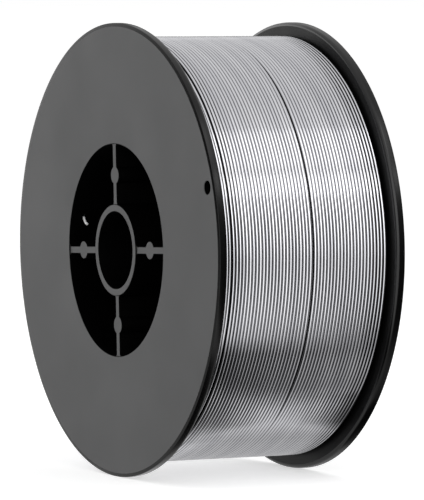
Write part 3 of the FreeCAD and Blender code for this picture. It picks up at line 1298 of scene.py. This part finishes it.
@dataclass
class Studio:
    """Camera, pale floor, white surroundings, soft lamps and the tent's cards."""

    camera_bearing: float = 62.708
    camera_elevation: float = 3.125
    camera_distance: float = 1.0427
    aim_right: float = 1.3057 * MM
    aim_up: float = -0.5237 * MM
    focal_length: float = 337.628
    sensor: float = 36.0
    clip: Span = (0.01, 200)
    floor_size: float = 60.0
    floor_tone: float = 0.8
    floor_glow: float = 0.55
    surroundings: float = 0.6
    soft_boxes: tuple[SoftBox, ...] = (
        SoftBox("top_box", 20, 62, 1.1, 0.8, 0.8, 1.3),
        SoftBox("right_box", 32, 31, 0.9, 0.24, 0.16, 2.75),
        SoftBox("left_box", -155, 6, 0.75, 0.5, 0.5, 0.9),
        SoftBox("front_box", -40, 12, 1.2, 0.6, 0.6, 3.6, mirrored=False),
    )
    cards: tuple[Card, ...] = (
        Card.upright(
            "front_side", (-150, -64), 1.0, ((FLOOR_LEVEL, 0), (0.18, 0), (0.34, 0.65), (0.96, 0.7))),
        Card.upright(
            "key_panel", (-64, 4), 1.0,
            ((FLOOR_LEVEL, 1.5), (0.15, 1.95), (0.42, 2.45), (0.8, 1.65), (0.96, 1.25))),
        Card.upright(
            "right_side", (4, 50), 1.0,
            ((FLOOR_LEVEL, 0.05), (0.1, 0.12), (0.42, 0.36), (0.6, 0.55), (0.96, 0.66))),
        Card.upright("back_side", (50, 170), 1.0, ((FLOOR_LEVEL, 0), (0.2, 0), (0.4, 0.66), (0.96, 0.76))),
        Card.level("ceiling", 0.96, 1.2, 0.05, (
            Stop(-1.2, (0,), (0.74, 0.74)), Stop(0.1, (0,), (0.82, 0.72)), Stop(0.45, (0.1,), (1.15, 0.8)),
            Stop(1.2, (0.1,), (1.2, 0.82)))),
        # painted reflection of the floor: dark where the spool's shadow lies beside it, bright where the
        # floor is lit
        Card.level("floor_painted_reflection", FLOOR_LEVEL + 0.05 * MM, 1.2, 0.005, (
            Stop(-0.02, (-0.018, 0.04), (1.3, 0.52, 0.5)),
            Stop(0.012, (-0.018, 0.04), (1.2, 0.52, 0.45)),
            Stop(0.019, (-0.016, 0.03), (0.5, 0.5, 0.3)),
            Stop(0.026, (-0.006, 0.012), (0.1, 0.8, 0.05)),
            Stop(0.033, (-0.006, 0.012), (0.04, 0.9, 0.02)),
            Stop(0.038, (-0.006, 0.012), (0.03, 0.65, 0.02)),
            Stop(0.043, (-0.004, 0.02), (0.03, 0.44, 0.24)),
            Stop(0.05, (-0.002, 0.02), (0.02, 0.52, 0.34)),
            Stop(0.056, (-0.001, 0.02), (0.02, 0.56, 0.38)),
            Stop(0.064, (0, 0.014), (0.02, 0.54, 0.36)),
            Stop(0.072, (-0.01, 0.012), (0.3, 0.75, 0.25)),
            Stop(0.08, (-0.05, 0.01), (0.85, 0.98, 0.12)),
            Stop(0.1, (-0.05, 0.01), (1.15, 1.25, 0.06)),
            Stop(0.143, (-0.05, 0.01), (1.35, 1.4, 0.04)),
            Stop(0.5, (-0.05, 0.02), (1.4, 1.4, 0.05)),
            Stop(1.2, (-0.05, 0.02), (1.45, 1.45, 0.08)))),
    )

    def build_camera(self) -> Object:
        """Make the camera at the photograph's viewing angle.

        Returns:
            The scene's camera.
        """
        bearing, elevation = math.radians(self.camera_bearing), math.radians(self.camera_elevation)
        level = math.cos(elevation)
        back = Vector((math.sin(bearing) * level, -math.cos(bearing) * level, math.sin(elevation)))
        right = Vector((math.cos(bearing), math.sin(bearing), 0))
        up = back.cross(right)
        data = bpy.data.cameras.new("photo_camera")
        data.lens = self.focal_length
        data.sensor_width = self.sensor
        data.sensor_fit = "AUTO"
        data.clip_start, data.clip_end = self.clip
        camera = link_object("photo_camera", data)
        place = right * self.aim_right + up * self.aim_up + back * self.camera_distance
        axes = Matrix((right, up, back)).transposed().to_4x4()
        camera.matrix_world = Matrix.Translation(place) @ axes
        bpy.context.scene.camera = camera
        return camera

    def build_floor(self) -> Object:
        """Make the pale floor, which looks white and keeps the spool's shadow.

        Returns:
            The floor.
        """
        material, graph = new_material("pale_floor")
        colour = (self.floor_tone, self.floor_tone, self.floor_tone, 1)
        diffuse = graph.add("ShaderNodeBsdfDiffuse", {"Color": colour}).outputs["BSDF"]
        strength = self.seen_by_eye(graph, self.floor_glow)
        glow = graph.add("ShaderNodeEmission", {"Color": WHITE, "Strength": strength}).outputs["Emission"]
        graph.show(graph.add("ShaderNodeAddShader", {0: diffuse, 1: glow}).outputs["Shader"])
        low, _ = CAD_BOX
        half = self.floor_size / 2
        mesh = bpy.data.meshes.new("floor")
        corners = [(-half, -half, low.z), (half, -half, low.z), (half, half, low.z), (-half, half, low.z)]
        mesh.from_pydata(corners, [], [(0, 1, 2, 3)])
        mesh.materials.append(material)
        floor = link_object("floor", mesh)
        return floor

    def seen_by_eye(self, graph: NodeGraph, strength: float) -> NodeSocket:
        """A strength for rays that come from the eye, straight or by way of a reflection.

        Args:
            graph: The nodes to add to.
            strength: The strength for those rays. All others get 0.

        Returns:
            The strength's output.
        """
        path = graph.add("ShaderNodeLightPath")
        total = path.outputs["Is Camera Ray"]
        for name in ("Is Glossy Ray", "Is Transmission Ray"):
            total = graph.calculate("MAXIMUM", total, path.outputs[name])
        return graph.calculate("MULTIPLY", total, strength)

    def build_surroundings(self) -> None:
        """Make the world: white to the eye and in reflections, and a softer light for everything else."""
        world = bpy.data.worlds.new("white_surroundings")
        world.use_nodes = True
        graph = NodeGraph(world.node_tree)
        strength = graph.calculate("ADD", self.seen_by_eye(graph, 1 - self.surroundings), self.surroundings)
        background = graph.add("ShaderNodeBackground", {"Color": WHITE, "Strength": strength})
        graph.show(background.outputs["Background"], "ShaderNodeOutputWorld")
        bpy.context.scene.world = world

    def build(self) -> None:
        """Make the whole studio."""
        self.build_camera()
        self.build_floor()
        self.build_surroundings()
        for box in self.soft_boxes:
            box.build()
        for card in self.cards:
            card.build()
        bpy.context.scene.view_settings.view_transform = "Standard"


def main() -> None:
    """Build the studio, the spool and its wire."""
    logging.basicConfig(level=logging.INFO, format="%(name)s: %(message)s")
    Studio().build()
    # The face has the plastic's own colour; the inner face, rim, hub, bevel and lip are darker copies of it,
    # painted shade where less light reaches them.
    spool = SpoolBody({
        Surface.FACE: MouldedPlastic(
            "matt_moulded_face", (0.036, 0.0362, 0.0372), (0.042, 0.0422, 0.0432), (0.5, 0.58), 0.48),
        Surface.INNER: MouldedPlastic(
            "matt_moulded_inner_face_painted_shade", (0.0012, 0.0012, 0.0013), (0.0018, 0.0018, 0.0019), (0.4, 0.48),
            0.15),
        Surface.RIM: MouldedPlastic(
            "smooth_moulded_rim_painted_shade", (0.0006, 0.0006, 0.0007), (0.001, 0.001, 0.0011), (0.22, 0.28), 0.3),
        Surface.HUB: MouldedPlastic(
            "smooth_moulded_hub_painted_shade", (0.0004, 0.0004, 0.0004), (0.0006, 0.0006, 0.0006), (0.5, 0.6), 0.02),
        Surface.BEVEL: MouldedPlastic(
            "smooth_moulded_bevel_painted_shade", (0.0005, 0.0005, 0.0005), (0.0007, 0.0007, 0.0007), (0.24, 0.3), 0.08),
        Surface.LIP: MouldedPlastic(
            "smooth_moulded_lip_painted_shade", (0.0006, 0.0006, 0.0007), (0.001, 0.001, 0.0011), (0.2, 0.24), 0.42),
    })
    # The under layer and the inside are the same bare wire, painted much darker as painted shade, since they
    # lie in shade.
    inside = DrawnWire(
        "bare_wire_inside_painted_shade", painted_flank_shade=0.1, painted_edge_shade=0.05, dull=(0.1, 0.1, 0.1),
        bright=(0.14, 0.14, 0.14), roughness=(0.3, 0.4))
    # The hook is the same wire painted near white and mostly matt, as a painted highlight.
    hook = DrawnWire(
        "bare_wire_end_painted_highlight", painted_flank_shade=1.0, painted_edge_shade=1.0, metallic=0.25, dull=(0.98, 0.98, 0.98),
        bright=(1.0, 1.0, 1.0), roughness=(0.22, 0.28))
    # The outer wire's flanks get painted shade between the turns, deeper next to the flanges.
    winding = Winding(DrawnWire("bare_drawn_wire", painted_flank_shade=0.58, painted_edge_shade=0.02), inside)
    end = WireInnerEnd(spool.hub, spool.flange_thickness)
    makers: list[Callable[[], Object]] = [
        spool.build,
        winding.build_core,
        winding.build_under_layer,
        winding.build_outer_layer,
        lambda: end.build(hook),
    ]
    for make in makers:
        piece = make()
        log.info("%s: %d faces", piece.name, len(piece.data.polygons))


if __name__ == "__main__":
    main()
